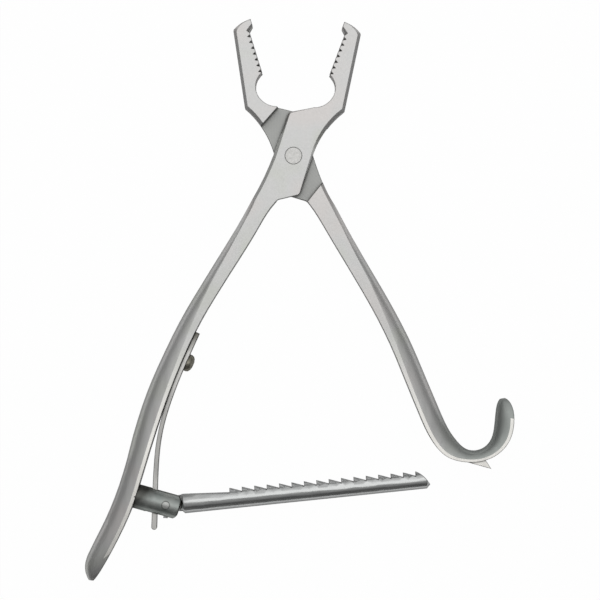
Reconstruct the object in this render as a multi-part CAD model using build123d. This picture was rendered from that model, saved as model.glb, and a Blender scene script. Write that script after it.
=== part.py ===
"""Bone holding forceps with toothed jaws and a hinged ratchet bar, in millimetres.

The forceps lies flat and open. Z = 0 is the plane it lies on, +Z is up and the origin is the axis
of the joint pin. The jaws point to +Y. Each lever is drawn in its own shut frame: the joint at the
origin, the jaw up and its outer side to +X. The rear lever is the same drawing mirrored.
"""

import os
from math import asin, cos, degrees, hypot, radians, sin

from build123d import *

# Whole forceps
THICKNESS = 11.0
MIDDLE = THICKNESS / 2
JAW_OPENING = 38.0
LIE_ANGLE = 1.7
EDGE_BEVEL = 1.3
BEVEL_DEPTH = 0.9

# Joint: half-lap and riveted pin
PIN_DIAMETER = 7.3
PIN_END_CHAMFER = 0.15
PIN_RUNNING_CLEARANCE = 0.04
LAP_CLEARANCE = 0.05
SHOULDER_CLEARANCE = 0.2

# Lap plate, shut frame
PLATE_FAR_HALF = 8.4
PLATE_WAIST_HALF = 8.1
PLATE_NEAR_HALF = 7.7
PLATE_TOP_INNER = (1.0, 22.4)
PLATE_TOP_CORNER = (-PLATE_FAR_HALF, 16.7)
PLATE_TOP_CORNER_RADIUS = 1.5
PLATE_WAIST_Y = -3.0
PLATE_LOW_CORNER = (PLATE_NEAR_HALF + 0.5, -14.6)
PLATE_LOW_CORNER_RADIUS = 1.2
CROTCH = (0.2, -20.0)
CROTCH_RADIUS = 3.0
NECK_START_Y = 2.0
NECK_RADIUS = 40.0
NECK_BEVEL_RADIUS = 35.0
NECK_BEVEL_SHARE = 0.45
CORNER_BEVEL_SHARE = 0.5
TOP_BEVEL_SHARE = 0.5

# Jaws, shut frame
JAW_TIP_Y = 61.0
JAW_TIP_X = 0.15
JAW_SHOULDER = (13.7, 25.7)
JAW_TOP_OUTER = (8.6, 58.7)
JAW_TOP_BULGE = (5.2, 60.4)
JAW_TOP_RADIUS = 1.6
HOOK_TIP_DEPTH = 2.8
HOOK_ROOT = (2.5, 56.0)
HOOK_FACET = (0.8, 0.95)
TOOTH_LINE_X = 2.15
JAW_TEETH = 7
JAW_TOOTH_PITCH = 2.6
JAW_TOOTH_WIDTH = 1.65
JAW_TOOTH_DEPTH = 1.6
JAW_TOOTH_WALL_SHARE = 0.3
FIRST_JAW_TOOTH_Y = 54.2
THROAT_TOP_X = 3.3
THROAT_LIP = 1.6
THROAT_FACET = 0.5
THROAT = [(6.3, 33.7), (6.95, 30.2), (5.2, 25.5)]

# Grips, shut frame: x, y, width, flat strip, drop of the rounded side, roundness, thickness
GRIP_SECTIONS = 22
GRIP_GRADING = 1.4
GRIP_SIDE_FLATS = 5
FRONT_GRIP_START_WIDTH = 8.6
REAR_GRIP_START_WIDTH = 8.7
FRONT_GRIP = [
    (-5.5, -23.5, FRONT_GRIP_START_WIDTH, FRONT_GRIP_START_WIDTH - EDGE_BEVEL, BEVEL_DEPTH, 0.0, THICKNESS),
    (-6.8, -31.5, 8.1, 6.5, 1.6, 0.1, THICKNESS - 0.06),
    (-10.0, -48.5, 8.0, 5.6, 2.3, 0.3, THICKNESS - 0.14),
    (-13.4, -65.2, 7.8, 4.4, 3.2, 0.5, THICKNESS - 0.2),
    (-16.3, -82.0, 8.0, 2.8, 4.2, 0.8, THICKNESS - 0.25),
    (-17.8, -98.7, 8.5, 2.0, 4.8, 1.0, THICKNESS - 0.28),
    (-18.4, -115.7, 9.1, 1.7, 4.9, 1.0, THICKNESS - 0.34),
    (-17.8, -132.7, 9.0, 1.6, 4.9, 1.0, THICKNESS - 0.40),
    (-16.4, -149.7, 8.3, 1.6, 4.9, 1.0, THICKNESS - 0.46),
    (-15.7, -164.0, 8.6, 1.6, 4.8, 1.0, THICKNESS - 0.55),
    (-16.3, -176.2, 8.6, 1.6, 4.7, 1.0, THICKNESS - 0.80),
    (-17.5, -187.0, 8.5, 1.6, 4.4, 1.0, THICKNESS - 1.4),
    (-18.1, -194.0, 7.6, 1.4, 3.8, 1.0, THICKNESS - 2.6),
    (-17.4, -198.6, 4.6, 1.0, 2.8, 1.0, THICKNESS - 4.4),
    (-16.9, -200.2, 2.2, 0.6, 2.0, 1.0, THICKNESS - 6.0),
]
REAR_GRIP = [
    (-5.6, -23.5, REAR_GRIP_START_WIDTH, REAR_GRIP_START_WIDTH - EDGE_BEVEL, BEVEL_DEPTH, 0.0, THICKNESS),
    (-7.4, -31.2, 8.4, 6.8, 1.6, 0.1, THICKNESS - 0.06),
    (-10.8, -46.4, 7.9, 5.6, 2.3, 0.3, THICKNESS - 0.14),
    (-14.4, -61.5, 7.8, 4.6, 3.0, 0.5, THICKNESS - 0.2),
    (-17.7, -76.6, 8.0, 3.2, 4.0, 0.7, THICKNESS - 0.25),
    (-20.1, -91.6, 8.4, 2.2, 4.7, 0.9, THICKNESS - 0.28),
    (-21.9, -110.5, 8.7, 1.7, 4.9, 1.0, THICKNESS - 0.34),
    (-24.2, -131.0, 8.7, 1.6, 4.9, 1.0, THICKNESS - 0.44),
    (-27.4, -139.5, 7.9, 1.5, 4.7, 1.0, THICKNESS - 0.50),
    (-31.9, -143.9, 5.4, 1.3, 4.5, 1.0, THICKNESS - 0.56),
    (-37.8, -145.9, 4.7, 1.2, 4.4, 1.0, THICKNESS - 0.62),
    (-44.2, -144.9, 5.7, 1.3, 4.5, 1.0, THICKNESS - 0.70),
    (-49.7, -140.3, 7.5, 1.5, 4.6, 1.0, THICKNESS - 0.85),
    (-52.9, -133.8, 7.9, 1.6, 4.5, 1.0, THICKNESS - 1.3),
    (-54.1, -129.4, 6.6, 1.5, 3.9, 1.0, THICKNESS - 2.3),
    (-54.5, -127.1, 4.8, 1.2, 3.2, 1.0, THICKNESS - 3.6),
    (-54.7, -125.7, 2.4, 0.8, 2.2, 1.0, THICKNESS - 5.4),
]

# Pawl tooth under the finger hook, shut frame
PAWL_THICKNESS = 5.0
PAWL_TIP = (-41.0, -152.8)
PAWL_HEEL = (-25.1, -142.5)
PAWL_FACE_TOP = (-39.2, -146.4)
PAWL_ROOT = (-30.0, -142.4)

# Ratchet socket on the front grip
PIVOT = (-54.5, -149.0)
SOCKET_ANGLE = -15.5
SOCKET_DIAMETER = 10.5
SOCKET_NOSE = 5.75
SOCKET_NOSE_RADIUS = 6.55
SOCKET_SEAT_OVERLAP = 0.6
SPIGOT_DIAMETER = 5.0
SPIGOT_DEPTH = 17.4
SPIGOT_COVER = 0.7
FORK_SLOT_DEPTH = 7.8
CROSS_PIN_DIAMETER = 3.2
CROSS_PIN_RUNNING_CLEARANCE = 0.03

# Ratchet bar, along its own axis from the pivot
BAR_ANGLE = 5.45
BAR_LENGTH = 113.4
BAR_ROOT_DIAMETER = 9.2
BAR_TIP_DIAMETER = 7.7
BAR_NOSE_CLEARANCE = 0.12
BAR_COLLAR_CHAMFER = 1.1
BAR_END_RADIUS = 1.6
BAR_END_BULGE = (0.59, 0.34)
BAR_TEETH = 16
BAR_TOOTH_PITCH = 5.33
BAR_TOOTH_DEPTH = 2.1
FIRST_BAR_TOOTH = 27.6
BAR_FLAT_DROP = 0.5
TONGUE_THICKNESS = 3.4
TONGUE_SIDE_CLEARANCE = 0.05
TONGUE_RADIUS = 3.3
TONGUE_ROOT = 11.0
TOE_REACH = 5.85
TOE_START_ANGLE = -102.0
TOE_WIDTH_ANGLE = 18.0

# Leaf spring and its screw
SPRING_THICKNESS = 1.8
SPRING_FOOT_THICKNESS = 2.4
SPRING_SEAT_GAP = 0.15
SPRING_TOP_DROP = 2.6
SPRING_WIDTH = 6.6
SPRING_FOOT_WIDTH = 3.0
SPRING_TAPER_START_Y = -100.0
SPRING_TAPER_END_Y = -136.0
SPRING_BEND = (-57.5, -121.0)
SPRING_KNEE = (-58.7, -132.0)
SPRING_FOOT = (-59.6, -158.8)
SPRING_END_RADIUS = 1.0
SCREW_PATH_SHARE = 0.155
SCREW_HEAD_DIAMETER = 7.5
SCREW_HEAD_HEIGHT = 3.0
SCREW_HEAD_RIM = 1.1
SCREW_DOME = [(1.0, 0.0), (0.9, 0.48), (0.68, 0.8), (0.35, 1.0)]
SCREW_SHANK_DIAMETER = 3.5
SCREW_DEPTH = 5.0
SCREW_SLOT_WIDTH = 1.0
SCREW_SLOT_DEPTH = 0.9


def turned(point, angle):
    """A plane point turned about the joint by an angle in degrees."""
    c, s = cos(radians(angle)), sin(radians(angle))
    return (point[0] * c - point[1] * s, point[0] * s + point[1] * c)


FRONT_TURN = -(JAW_OPENING / 2 + LIE_ANGLE)
REAR_TURN = JAW_OPENING / 2 - LIE_ANGLE


def smooth_stations(stations):
    """Stations on one smooth curve through the given ones, closer together towards the grip's end."""
    travel = [0.0]
    for before, after in zip(stations, stations[1:]):
        travel.append(travel[-1] + hypot(after[0] - before[0], after[1] - before[1]))
    last = len(stations) - 1
    slopes = []
    for i in range(len(stations)):
        a, b = max(i - 1, 0), min(i + 1, last)
        slopes.append([(q - p) / (travel[b] - travel[a]) for p, q in zip(stations[a], stations[b])])
    smooth = []
    for k in range(GRIP_SECTIONS):
        distance = travel[-1] * (1 - (1 - k / (GRIP_SECTIONS - 1)) ** GRIP_GRADING)
        i = max(j for j in range(last) if travel[j] <= distance)
        span = travel[i + 1] - travel[i]
        u = (distance - travel[i]) / span
        weights = (2 * u**3 - 3 * u**2 + 1, u**3 - 2 * u**2 + u, 3 * u**2 - 2 * u**3, u**3 - u**2)
        values = zip(stations[i], slopes[i], stations[i + 1], slopes[i + 1])
        smooth.append(tuple(
            weights[0] * p + weights[1] * span * m + weights[2] * q + weights[3] * span * n
            for p, m, q, n in values
        ))
    return smooth


def grip_directions(stations):
    """The unit direction of travel at each grip station, towards the grip's end."""
    directions = []
    for i in range(len(stations)):
        before = stations[max(i - 1, 0)]
        after = stations[min(i + 1, len(stations) - 1)]
        dx, dy = after[0] - before[0], after[1] - before[1]
        length = hypot(dx, dy)
        directions.append((dx / length, dy / length))
    return directions


def grip_side(station, direction, side):
    """A point on the grip's edge: side is +1 for the outer edge and -1 for the inner edge."""
    outwards = (direction[1], -direction[0])
    half = side * station[2] / 2
    return (station[0] + outwards[0] * half, station[1] + outwards[1] * half)


def rounded_side(strip_end, knee, wall):
    """Points of narrow ground flats along the curve that bends at the knee between strip and wall."""
    points = []
    for i in range(GRIP_SIDE_FLATS + 1):
        t = i / GRIP_SIDE_FLATS
        weights = ((1 - t) ** 2, 2 * t * (1 - t), t**2)
        points.append(tuple(
            weights[0] * a + weights[1] * b + weights[2] * c for a, b, c in zip(strip_end, knee, wall)
        ))
    return points


def grip_section(station, direction):
    """One upright cross-section: flat inner wall, flat strips, and a side that turns from bevel to D."""
    x, y, width, strip, drop, roundness, thickness = station
    outwards = (direction[1], -direction[0], 0)
    plane = Plane(origin=(x, y, MIDDLE), x_dir=outwards, z_dir=(direction[0], direction[1], 0))
    half, rise = width / 2, thickness / 2
    wall = rise - drop
    strip_end = strip - half
    knee_x = (strip_end + half) / 2 * (1 - roundness) + half * roundness
    knee_y = (rise + wall) / 2 * (1 - roundness) + rise * roundness
    upper = rounded_side((strip_end, rise), (knee_x, knee_y), (half, wall))
    lower = [(px, -py) for px, py in reversed(upper)]
    return plane * make_face(Polyline((-half, -rise), (-half, rise), *upper, *lower, close=True))


def make_grip(stations):
    """The forged grip, lofted through its cross-sections."""
    directions = grip_directions(stations)
    return loft([grip_section(s, d) for s, d in zip(stations, directions)])


def jaw_tooth_line(inset):
    """The biting edge as points, from the hooked tip down to the last tooth. Each tooth gap is a V that
    slants from its full depth in the face to a shallow one where the inset is 0."""
    share = JAW_TOOTH_WALL_SHARE + (1 - JAW_TOOTH_WALL_SHARE) * inset / EDGE_BEVEL
    half = JAW_TOOTH_WIDTH / 2 * share
    facet = (HOOK_FACET[0] * inset / EDGE_BEVEL, HOOK_FACET[1] * inset / EDGE_BEVEL)
    points = [(JAW_TIP_X, JAW_TIP_Y - HOOK_TIP_DEPTH + facet[1])]
    points.append((HOOK_ROOT[0] + facet[0], HOOK_ROOT[1] + facet[1]))
    points.append((TOOTH_LINE_X, FIRST_JAW_TOOTH_Y + JAW_TOOTH_PITCH / 2))
    for i in range(JAW_TEETH):
        y = FIRST_JAW_TOOTH_Y - i * JAW_TOOTH_PITCH
        points.append((TOOTH_LINE_X, y + half))
        points.append((TOOTH_LINE_X + JAW_TOOTH_DEPTH * share, y))
        points.append((TOOTH_LINE_X, y - half))
    return points


def neck_end_direction(start):
    """The neck arc's direction where it meets the jaw's shoulder, from its chord and its half angle."""
    dx, dy = JAW_SHOULDER[0] - start[0], JAW_SHOULDER[1] - start[1]
    return turned((dx, dy), -degrees(asin(hypot(dx, dy) / 2 / NECK_RADIUS)))


def inset_corner(point, before, after, inset):
    """A corner moved inwards by the same distance from both of its sides, given as directions."""
    b, a = hypot(*before), hypot(*after)
    normals = ((-before[1] / b, before[0] / b), (-after[1] / a, after[0] / a))
    scale = inset / (1 + normals[0][0] * normals[1][0] + normals[0][1] * normals[1][1])
    return tuple(point[i] + (normals[0][i] + normals[1][i]) * scale for i in (0, 1))


def plate_outline(stations, inset):
    """Jaw and lap plate in plan. The inset draws the back of the jaw, the neck and the waist in."""
    first = grip_directions(stations)[0]
    grip_inner = grip_side(stations[0], first, -1)
    grip_edge = grip_side(stations[0], first, 1)
    grip_outer = (grip_edge[0] - first[1] * inset, grip_edge[1] + first[0] * inset)
    waist = (-PLATE_WAIST_HALF + inset, PLATE_WAIST_Y)
    top_corner = (PLATE_TOP_CORNER[0] + inset * CORNER_BEVEL_SHARE, PLATE_TOP_CORNER[1])
    neck_start = (PLATE_NEAR_HALF - inset * NECK_BEVEL_SHARE, NECK_START_Y)
    neck_radius = NECK_RADIUS + (NECK_BEVEL_RADIUS - NECK_RADIUS) * inset / EDGE_BEVEL
    back = (JAW_TOP_OUTER[0] - JAW_SHOULDER[0], JAW_TOP_OUTER[1] - JAW_SHOULDER[1])
    top = (JAW_TOP_BULGE[0] - JAW_TOP_OUTER[0], JAW_TOP_BULGE[1] - JAW_TOP_OUTER[1])
    shoulder = inset_corner(JAW_SHOULDER, neck_end_direction(neck_start), back, inset)
    top_outer = inset_corner(JAW_TOP_OUTER, back, top, inset)
    bulge = (JAW_TOP_BULGE[0], JAW_TOP_BULGE[1] - inset * TOP_BEVEL_SHARE)
    tip = (JAW_TIP_X, JAW_TIP_Y)
    teeth = jaw_tooth_line(inset)
    last_tooth_y = FIRST_JAW_TOOTH_Y - (JAW_TEETH - 1) * JAW_TOOTH_PITCH
    throat_top = (THROAT_TOP_X + THROAT_FACET * inset / EDGE_BEVEL, last_tooth_y - THROAT_LIP)
    outline = make_face([
        Line(grip_inner, CROTCH),
        Line(CROTCH, PLATE_LOW_CORNER),
        Line(PLATE_LOW_CORNER, neck_start),
        RadiusArc(neck_start, shoulder, neck_radius),
        Line(shoulder, top_outer),
        ThreePointArc(top_outer, bulge, tip),
        Line(tip, teeth[0]),
        *Polyline(*teeth).edges(),
        Line(teeth[-1], throat_top),
        Spline(throat_top, *THROAT, PLATE_TOP_INNER),
        Line(PLATE_TOP_INNER, top_corner),
        Line(top_corner, waist),
        Spline(waist, grip_outer, tangents=[(0, -1), first]),
        Line(grip_outer, grip_inner),
    ])
    for corner, radius in (
        (CROTCH, CROTCH_RADIUS),
        (PLATE_LOW_CORNER, PLATE_LOW_CORNER_RADIUS),
        (top_outer, JAW_TOP_RADIUS),
        (top_corner, PLATE_TOP_CORNER_RADIUS),
    ):
        vertex = outline.vertices().sort_by_distance((*corner, 0))[0]
        outline = fillet(vertex, radius)
    return outline


def make_plate(stations):
    """Jaw and lap plate in one thickness, bevelled along its outer edges on both faces."""
    full = plate_outline(stations, 0)
    drawn_in = plate_outline(stations, EDGE_BEVEL)
    levels = ((drawn_in, 0), (full, BEVEL_DEPTH), (full, THICKNESS - BEVEL_DEPTH), (drawn_in, THICKNESS))
    return loft([Pos(0, 0, z) * outline for outline, z in levels], ruled=True)


def lap_recess(upper):
    """The space of the other lever's plate, between the two slanting shoulders."""
    reach = 30
    top_slope = (PLATE_TOP_INNER[1] - PLATE_TOP_CORNER[1]) / (PLATE_TOP_INNER[0] - PLATE_TOP_CORNER[0])
    low_slope = (PLATE_LOW_CORNER[1] - CROTCH[1]) / (PLATE_LOW_CORNER[0] - CROTCH[0])
    top_offset = SHOULDER_CLEARANCE * hypot(1, top_slope)
    low_offset = SHOULDER_CLEARANCE * hypot(1, low_slope)

    def top(x):
        return PLATE_TOP_INNER[1] - top_slope * (x + PLATE_TOP_INNER[0]) + top_offset

    def low(x):
        return CROTCH[1] - low_slope * (x + CROTCH[0]) - low_offset

    band = make_face(Polyline((-reach, top(-reach)), (reach, top(reach)), (reach, low(reach)),
                              (-reach, low(-reach)), close=True))
    gap = LAP_CLEARANCE / 2
    if upper:
        return Pos(0, 0, MIDDLE - gap) * extrude(band, THICKNESS)
    return Pos(0, 0, MIDDLE + gap) * extrude(band, -THICKNESS)


def make_front_lever():
    """Right jaw, upper half of the lap, and the left grip with its bores for socket and screw."""
    stations = smooth_stations(FRONT_GRIP)
    lever = make_plate(stations) + make_grip(stations)
    lever -= lap_recess(upper=False)
    lever -= extrude(Circle(PIN_DIAMETER / 2), THICKNESS)
    lever = Rot(0, 0, FRONT_TURN) * lever
    lever -= socket_spigot()
    lever -= screw_shank()
    return lever


def make_rear_lever():
    """Left jaw, lower half of the lap, and the right grip with finger hook and pawl tooth."""
    pawl = make_face(Polyline(PAWL_HEEL, PAWL_TIP, PAWL_FACE_TOP, PAWL_ROOT, close=True))
    stations = smooth_stations(REAR_GRIP)
    lever = make_plate(stations) + make_grip(stations)
    lever += Pos(0, 0, MIDDLE - PAWL_THICKNESS / 2) * extrude(pawl, PAWL_THICKNESS)
    lever -= lap_recess(upper=True)
    lever -= extrude(Circle(PIN_DIAMETER / 2 + PIN_RUNNING_CLEARANCE), THICKNESS)
    return Rot(0, 0, REAR_TURN) * mirror(lever, Plane.YZ)


def make_joint_pin():
    """Riveted pin, dressed flush with both faces."""
    pin = Pos(0, 0, MIDDLE) * Cylinder(PIN_DIAMETER / 2, THICKNESS)
    return chamfer(pin.edges().filter_by(GeomType.CIRCLE), PIN_END_CHAMFER)


def socket_place():
    """The socket's own frame: origin at the cross pin, X along the socket towards the bar."""
    return Location((PIVOT[0], PIVOT[1], MIDDLE), (0, 0, SOCKET_ANGLE))


def socket_spigot():
    """The round spigot by which the socket is brazed into the grip."""
    start = FORK_SLOT_DEPTH + SPIGOT_COVER
    spigot = Cylinder(SPIGOT_DIAMETER / 2, SPIGOT_DEPTH - start)
    return socket_place() * Pos(-(SPIGOT_DEPTH + start) / 2, 0, 0) * Rot(0, 90, 0) * spigot


def grip_inside():
    """The space on the inner side of the front grip, from a little way inside its inner wall."""
    stations = smooth_stations(FRONT_GRIP)
    wall = []
    for (x, y, width, *_), direction in zip(stations, grip_directions(stations)):
        depth = width / 2 - SOCKET_SEAT_OVERLAP
        wall.append(turned((x - direction[1] * depth, y + direction[0] * depth), FRONT_TURN))
    reach = wall[0][0] - wall[-1][0]
    corners = [(wall[-1][0] + 2 * reach, wall[-1][1]), (wall[0][0] + reach, wall[0][1])]
    return extrude(make_face(Polyline(*wall, *corners, close=True)), THICKNESS + SOCKET_DIAMETER)


def make_ratchet_socket(front_lever):
    """Turned ferrule with a fork for the bar's tongue, seated on the grip's inner wall."""
    radius = SOCKET_DIAMETER / 2
    length = SOCKET_NOSE + SPIGOT_DEPTH
    barrel = Pos((SOCKET_NOSE - SPIGOT_DEPTH) / 2, 0, 0) * Rot(0, 90, 0) * Cylinder(radius, length)
    nose = Cylinder(SOCKET_NOSE_RADIUS, SOCKET_DIAMETER) + Pos(-SPIGOT_DEPTH, 0, 0) * Box(
        2 * SPIGOT_DEPTH, 2 * SOCKET_NOSE_RADIUS, SOCKET_DIAMETER
    )
    slot_length = FORK_SLOT_DEPTH + SOCKET_NOSE + 1
    slot_height = TONGUE_THICKNESS + 2 * TONGUE_SIDE_CLEARANCE
    slot = Pos((slot_length - 2 * FORK_SLOT_DEPTH) / 2, 0, 0) * Box(slot_length, SOCKET_DIAMETER, slot_height)
    socket = barrel & nose
    socket -= slot
    socket -= Cylinder(CROSS_PIN_DIAMETER / 2, SOCKET_DIAMETER)
    socket = socket_place() * socket & Pos(0, 0, -SOCKET_DIAMETER / 2) * grip_inside()
    return socket + socket_spigot() - front_lever


def make_ratchet_pivot_pin():
    """Cross pin through fork and tongue, dressed to the round of the socket."""
    pin = Cylinder(CROSS_PIN_DIAMETER / 2, SOCKET_DIAMETER)
    barrel = Rot(0, 90, 0) * Cylinder(SOCKET_DIAMETER / 2, SOCKET_DIAMETER)
    return socket_place() * (pin & barrel)


def bar_profile():
    """Side outline of the bar above its tongue end: flat, ratchet teeth and curved tip."""
    root, tip = BAR_ROOT_DIAMETER / 2, BAR_TIP_DIAMETER / 2

    def crest(x):
        return root + (tip - root) * x / BAR_LENGTH

    last = FIRST_BAR_TOOTH + (BAR_TEETH - 1) * BAR_TOOTH_PITCH
    points = [(0, -root - 1), (0, crest(0) - BAR_FLAT_DROP)]
    points.append((FIRST_BAR_TOOTH, crest(FIRST_BAR_TOOTH) - BAR_TOOTH_DEPTH))
    for i in range(BAR_TEETH - 1):
        x = FIRST_BAR_TOOTH + i * BAR_TOOTH_PITCH
        points.append((x, crest(x)))
        points.append((x + BAR_TOOTH_PITCH, crest(x + BAR_TOOTH_PITCH) - BAR_TOOTH_DEPTH))
    points.append((last, crest(last)))
    end_low = (BAR_LENGTH, -tip + BAR_END_RADIUS)
    mid = (last + (BAR_LENGTH - last) * BAR_END_BULGE[0], crest(last) * BAR_END_BULGE[1])
    edges = [
        *Polyline(*points).edges(),
        ThreePointArc(points[-1], mid, end_low),
        Line(end_low, (BAR_LENGTH, -root - 1)),
        Line((BAR_LENGTH, -root - 1), points[0]),
    ]
    return make_face(edges)


def make_ratchet_bar():
    """Round tapering bar with sixteen ratchet teeth, a hollowed shoulder and a tongue."""
    root, tip = BAR_ROOT_DIAMETER / 2, BAR_TIP_DIAMETER / 2
    shoulder = SOCKET_NOSE_RADIUS + BAR_NOSE_CLEARANCE
    rod_outline = make_face(Polyline(
        (shoulder - 2, 0),
        (shoulder - 2, root - BAR_COLLAR_CHAMFER),
        (shoulder, root - BAR_COLLAR_CHAMFER),
        (shoulder + BAR_COLLAR_CHAMFER, root),
        (BAR_LENGTH - BAR_END_RADIUS, tip),
        (BAR_LENGTH, tip - BAR_END_RADIUS),
        (BAR_LENGTH, 0),
        close=True,
    ))
    rod = revolve(rod_outline, Axis.X)
    rod &= Pos(0, 0, -BAR_ROOT_DIAMETER) * extrude(bar_profile(), 2 * BAR_ROOT_DIAMETER)
    rod -= Cylinder(shoulder, SOCKET_DIAMETER)
    toe_end = TOE_START_ANGLE + TOE_WIDTH_ANGLE
    toe = make_face(Polyline(
        (0, 0),
        (TOE_REACH * cos(radians(TOE_START_ANGLE - BAR_ANGLE)), TOE_REACH * sin(radians(TOE_START_ANGLE - BAR_ANGLE))),
        (TOE_REACH * cos(radians(toe_end - BAR_ANGLE)), TOE_REACH * sin(radians(toe_end - BAR_ANGLE))),
        close=True,
    ))
    tongue = Circle(TONGUE_RADIUS) + Pos(TONGUE_ROOT / 2, 0) * Rectangle(TONGUE_ROOT, 2 * TONGUE_RADIUS) + toe
    tongue -= Circle(CROSS_PIN_DIAMETER / 2 + CROSS_PIN_RUNNING_CLEARANCE)
    bar = rod + Pos(0, 0, -TONGUE_THICKNESS / 2) * extrude(tongue, TONGUE_THICKNESS)
    return Location((PIVOT[0], PIVOT[1], MIDDLE), (0, 0, BAR_ANGLE)) * bar


def spring_seat():
    """Centre line of the strip where it lies along the front grip's inner wall, from its top end."""
    directions = grip_directions(FRONT_GRIP)
    away = SPRING_SEAT_GAP + SPRING_THICKNESS / 2
    drops = (SPRING_TOP_DROP, 0, 0)
    line = []
    for station, direction, drop in zip(FRONT_GRIP[4:7], directions[4:7], drops):
        edge = grip_side(station, direction, -1)
        x = edge[0] - direction[1] * away + direction[0] * drop
        y = edge[1] + direction[0] * away + direction[1] * drop
        line.append(turned((x, y), FRONT_TURN))
    return line


def spring_line():
    """The whole centre line of the strip, as one smooth curve."""
    return Spline(*spring_seat(), SPRING_BEND, SPRING_KNEE, SPRING_FOOT)


def screw_place():
    """Frame on the strip's free face at the screw: Z away from the grip."""
    line = spring_line()
    point = line.position_at(SCREW_PATH_SHARE)
    tangent = line.tangent_at(SCREW_PATH_SHARE)
    away = Vector(-tangent.Y, tangent.X, 0)
    origin = Vector(point.X, point.Y, MIDDLE) + away * (SPRING_THICKNESS / 2)
    return Plane(origin=origin, x_dir=(0, 0, 1), z_dir=away)


def screw_shank():
    """The shank's full bore through strip and grip."""
    length = SPRING_THICKNESS + SPRING_SEAT_GAP + SCREW_DEPTH
    return screw_place().location * Pos(0, 0, -length / 2) * Cylinder(SCREW_SHANK_DIAMETER / 2, length)


def make_spring_screw():
    """Domed cheese-head screw with a driver slot."""
    radius = SCREW_HEAD_DIAMETER / 2
    crown = SCREW_HEAD_HEIGHT - SCREW_HEAD_RIM
    dome = [(radius * x, SCREW_HEAD_RIM + crown * z) for x, z in SCREW_DOME]
    head_outline = make_face(Polyline((0, 0), (radius, 0), *dome, (0, SCREW_HEAD_HEIGHT), close=True))
    head = revolve(Plane.XZ * head_outline, Axis.Z)
    slot = Box(SCREW_SLOT_WIDTH, SCREW_HEAD_DIAMETER, SCREW_SLOT_DEPTH * 2)
    head -= Pos(0, 0, SCREW_HEAD_HEIGHT) * slot
    return screw_place().location * head + screw_shank()


def make_leaf_spring():
    """Strip in plan, thicker towards its foot, cut to its tapering width."""
    line = spring_line()
    steps = 14
    left, right = [], []
    for i in range(steps + 1):
        share = i / steps
        half = (SPRING_THICKNESS + (SPRING_FOOT_THICKNESS - SPRING_THICKNESS) * max(0, 2 * share - 1)) / 2
        point, tangent = line.position_at(share), line.tangent_at(share)
        left.append((point.X + tangent.Y * half, point.Y - tangent.X * half))
        right.append((point.X - tangent.Y * half, point.Y + tangent.X * half))
    foot = line.position_at(1)
    plan = make_face([
        Spline(*left),
        ThreePointArc(left[-1], (foot.X, foot.Y - SPRING_END_RADIUS), right[-1]),
        Spline(*right),
        Line(left[0], right[0]),
    ])
    wide, narrow, reach = SPRING_WIDTH / 2, SPRING_FOOT_WIDTH / 2, 300
    side = Polyline(
        (0, wide), (SPRING_TAPER_START_Y, wide), (SPRING_TAPER_END_Y, narrow), (-reach, narrow),
        (-reach, -narrow), (SPRING_TAPER_END_Y, -narrow), (SPRING_TAPER_START_Y, -wide), (0, -wide), close=True,
    )
    width = Pos(0, 0, MIDDLE) * extrude(Plane.YZ * make_face(side), reach, both=True)
    strip = extrude(plan, THICKNESS) & width
    return strip - make_spring_screw()


def main():
    """Build every piece and write it in its own file."""
    front_lever = make_front_lever()
    pieces = {
        "front_lever": front_lever,
        "rear_lever": make_rear_lever(),
        "joint_pin": make_joint_pin(),
        "ratchet_socket": make_ratchet_socket(front_lever),
        "ratchet_pivot_pin": make_ratchet_pivot_pin(),
        "ratchet_bar": make_ratchet_bar(),
        "leaf_spring": make_leaf_spring(),
        "spring_screw": make_spring_screw(),
    }
    os.makedirs("parts", exist_ok=True)
    for name, piece in pieces.items():
        export_step(piece, f"parts/{name}.step")


main()
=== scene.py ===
# %% [markdown]
# # Bone holding forceps
# Two forged stainless levers cross at a riveted half-lap joint. A ratchet bar swings in a turned
# socket on the left grip, and a leaf spring presses on it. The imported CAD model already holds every
# piece to the tenth of a millimetre, so this script loads it as the frame. What Blender adds is the
# surface that a finisher leaves on the metal, and the light that shows it.

# %% Load the frame
from math import atan, degrees, radians

import bpy
import numpy as np
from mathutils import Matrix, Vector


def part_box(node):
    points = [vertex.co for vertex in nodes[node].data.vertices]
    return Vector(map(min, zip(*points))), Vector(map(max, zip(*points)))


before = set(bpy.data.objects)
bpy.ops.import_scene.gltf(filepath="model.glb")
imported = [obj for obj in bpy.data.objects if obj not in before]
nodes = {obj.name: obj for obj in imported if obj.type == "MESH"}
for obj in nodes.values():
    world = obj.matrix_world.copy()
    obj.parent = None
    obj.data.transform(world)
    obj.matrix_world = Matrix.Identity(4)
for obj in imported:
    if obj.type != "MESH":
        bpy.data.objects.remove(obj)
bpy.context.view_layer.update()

MM = 0.001
scene = bpy.context.scene
scene.view_settings.view_transform = "Standard"

# %% [markdown]
# ## Camera
# The photograph looks straight down on the forceps, so the camera hangs over the middle of the
# picture with the jaws at the top. A long lens from a metre away keeps both levers nearly free of
# perspective, as in the photograph. The lens follows from the width that the picture covers.

# %% Camera over the middle of the picture
TOP_FACE = 11.0 * MM
VIEW_WIDTH = 255.6 * MM
PICTURE_MIDDLE = (2.8 * MM, -61.5 * MM)
CAMERA_HEIGHT = 1.0
SENSOR_MM = 36.0

camera_data = bpy.data.cameras.new("camera")
camera_data.sensor_width = SENSOR_MM
camera_data.lens = SENSOR_MM * CAMERA_HEIGHT / VIEW_WIDTH
camera = bpy.data.objects.new("camera", camera_data)
camera.location = (*PICTURE_MIDDLE, TOP_FACE + CAMERA_HEIGHT)
scene.collection.objects.link(camera)
scene.camera = camera
view_angle = degrees(2 * atan(SENSOR_MM / 2 / camera_data.lens))
print("lens", round(camera_data.lens, 1), "mm, view", round(view_angle, 1), "degrees")

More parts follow.
